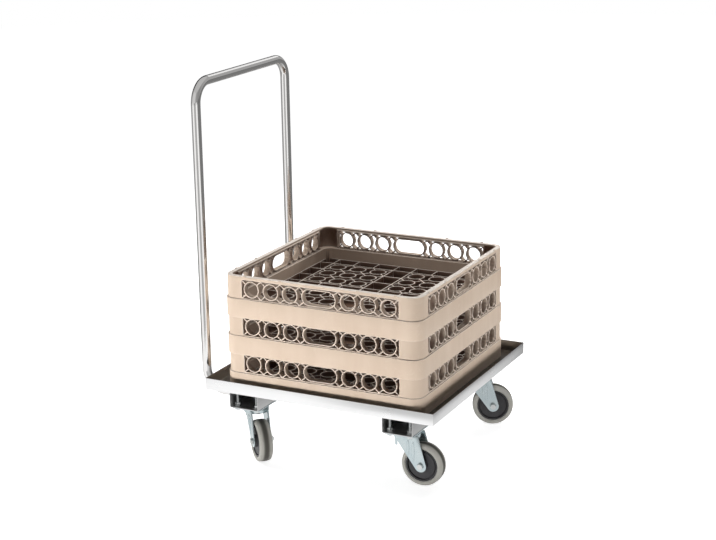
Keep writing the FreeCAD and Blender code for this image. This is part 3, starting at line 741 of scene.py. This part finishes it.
floor = bpy.data.objects.new("floor", floor_mesh)
scene.collection.objects.link(floor)
floor_white, tree, shader = new_finish("floor_white")
shader.inputs["Base Color"].default_value = (FLOOR_TONE, FLOOR_TONE, FLOOR_TONE, 1)
shader.inputs["Roughness"].default_value = 1.0
shader.inputs["Specular IOR Level"].default_value = 0.0
path = add(tree, "LightPath")
spot = add(tree, "TexCoord").outputs["Object"]
distance = add(tree, "VectorMath", {0: spot}, operation="LENGTH").outputs["Value"]
glow_level = add(tree, "MapRange", {"Value": distance, "From Min": GLOW_NEAR, "From Max": GLOW_FAR,
                                    "To Min": FLOOR_GLOW, "To Max": 1.0}).outputs[0]
glow = add(tree, "Emission", {"Color": (1, 1, 1, 1), "Strength": glow_level})
seen = add(tree, "AddShader", {0: shader.outputs[0], 1: glow.outputs[0]})
direct = add(tree, "MixShader", {0: path.outputs["Is Camera Ray"], 1: shader.outputs[0], 2: seen.outputs[0]})
far_off = add(tree, "MapRange", {"Value": distance, "From Min": NEARBY, "From Max": FURTHER_OFF}).outputs[0]
mirrored = blend_colour(tree, far_off, sides_of_the_room(tree, spot, NEAR_SIDES),
                        sides_of_the_room(tree, spot, FAR_SIDES))
mirror_glow = add(tree, "Emission", {"Color": mirrored, "Strength": MIRROR_STRENGTH})
whole = add(tree, "MixShader", {0: seen_in_a_mirror(tree, path), 1: direct.outputs[0],
                                2: mirror_glow.outputs[0]})
from_below = add(tree, "NewGeometry").outputs["Backfacing"]
clear = add(tree, "BsdfTransparent")
one_sided = add(tree, "MixShader", {0: from_below, 1: whole.outputs[0], 2: clear.outputs[0]})
tree.links.new(one_sided.outputs[0], tree.nodes["Material Output"].inputs["Surface"])
floor_mesh.materials.append(floor_white)

AMBIENT = 0.03
SKY_SIDES = ((0.0, 0.25), (0.12, 0.75), (0.27, 0.75), (0.35, 0.4), (0.5, 0.3), (0.62, 0.45), (0.76, 0.45),
             (0.79, 0.02), (0.97, 0.02), (1.0, 0.25))
CEILING = 0.6
CEILING_EDGE = (0.62, 0.72)
HORIZON = (0.0, 0.04)
world = bpy.data.worlds.new("studio")
scene.world = world
world.use_nodes = True
tree = world.node_tree
path = add(tree, "LightPath")
way = add(tree, "TexCoord").outputs["Generated"]
height = add(tree, "SeparateXYZ", {0: way}).outputs["Z"]
overhead = add(tree, "MapRange", {"Value": height, "From Min": CEILING_EDGE[0],
                                  "From Max": CEILING_EDGE[1]}).outputs[0]
risen = add(tree, "MapRange", {"Value": height, "From Min": HORIZON[0], "From Max": HORIZON[1]}).outputs[0]
mirrored = blend_colour(tree, risen, sides_of_the_room(tree, way, FAR_SIDES),
                        sides_of_the_room(tree, way, SKY_SIDES))
mirrored = blend_colour(tree, overhead, mirrored, (CEILING, CEILING, CEILING, 1))
colour = blend_colour(tree, seen_in_a_mirror(tree, path), (AMBIENT, AMBIENT, AMBIENT, 1), mirrored)
colour = blend_colour(tree, path.outputs["Is Camera Ray"], colour, (1, 1, 1, 1))
tree.links.new(colour, tree.nodes["Background"].inputs["Color"])


def add_softbox(name, place, aim, width, height, watts, mirrored):
    """A soft rectangular lamp that the camera doesn't see, and that bare metal may or may not mirror."""
    lamp = bpy.data.lights.new(name, "AREA")
    lamp.shape = "RECTANGLE"
    lamp.size = width
    lamp.size_y = height
    lamp.energy = watts
    softbox = bpy.data.objects.new(name, lamp)
    softbox.location = place
    softbox.rotation_euler = (Vector(aim) - Vector(place)).to_track_quat("-Z", "Y").to_euler()
    softbox.visible_camera = False
    softbox.visible_glossy = mirrored
    scene.collection.objects.link(softbox)


add_softbox("key", (-0.45, -1.5, 0.05), (-0.05, 0, 0.5), 2.2, 0.2, 30.5, False)
add_softbox("side", (1.5, -0.1, 0.2), (0.2, 0, 0.35), 1.3, 0.4, 10, False)
add_softbox("top", (0.1, 0.0, 2.5), (0.05, 0, 0.3), 0.7, 0.7, 17, False)
add_softbox("rear", (0.2, 2.0, 1.2), (0, 0, 0.4), 1.6, 0.4, 36, False)
add_softbox("left", (-2.0, 0.3, 1.2), (0, 0, 0.4), 1.6, 0.4, 36, False)
add_softbox("back", (-0.7, 3.1, 2.65), (-0.3, 0, 0.8), 2.0, 1.1, 5, True)

# Camera
# It stands off the right side of the trolley, towards the front, and looks down on the racks a little.
LENS = 83.93
SENSOR = 36.0
YAW = math.radians(26.8956)
PITCH = math.radians(15.9616)
ROLL = math.radians(-0.9745)
STAND = (1.7158, -3.3867, 1.5074)
ahead = Vector((-math.sin(YAW) * math.cos(PITCH), math.cos(YAW) * math.cos(PITCH), -math.sin(PITCH)))
level = Vector((math.cos(YAW), math.sin(YAW), 0))
right = level * math.cos(ROLL) + level.cross(ahead) * math.sin(ROLL)
up = right.cross(ahead)
camera = bpy.data.objects.new("camera", bpy.data.cameras.new("camera"))
camera.data.lens = LENS
camera.data.sensor_width = SENSOR
camera.matrix_world = Matrix.Translation(STAND) @ Matrix((right, up, -ahead)).transposed().to_4x4()
scene.collection.objects.link(camera)
scene.camera = camera
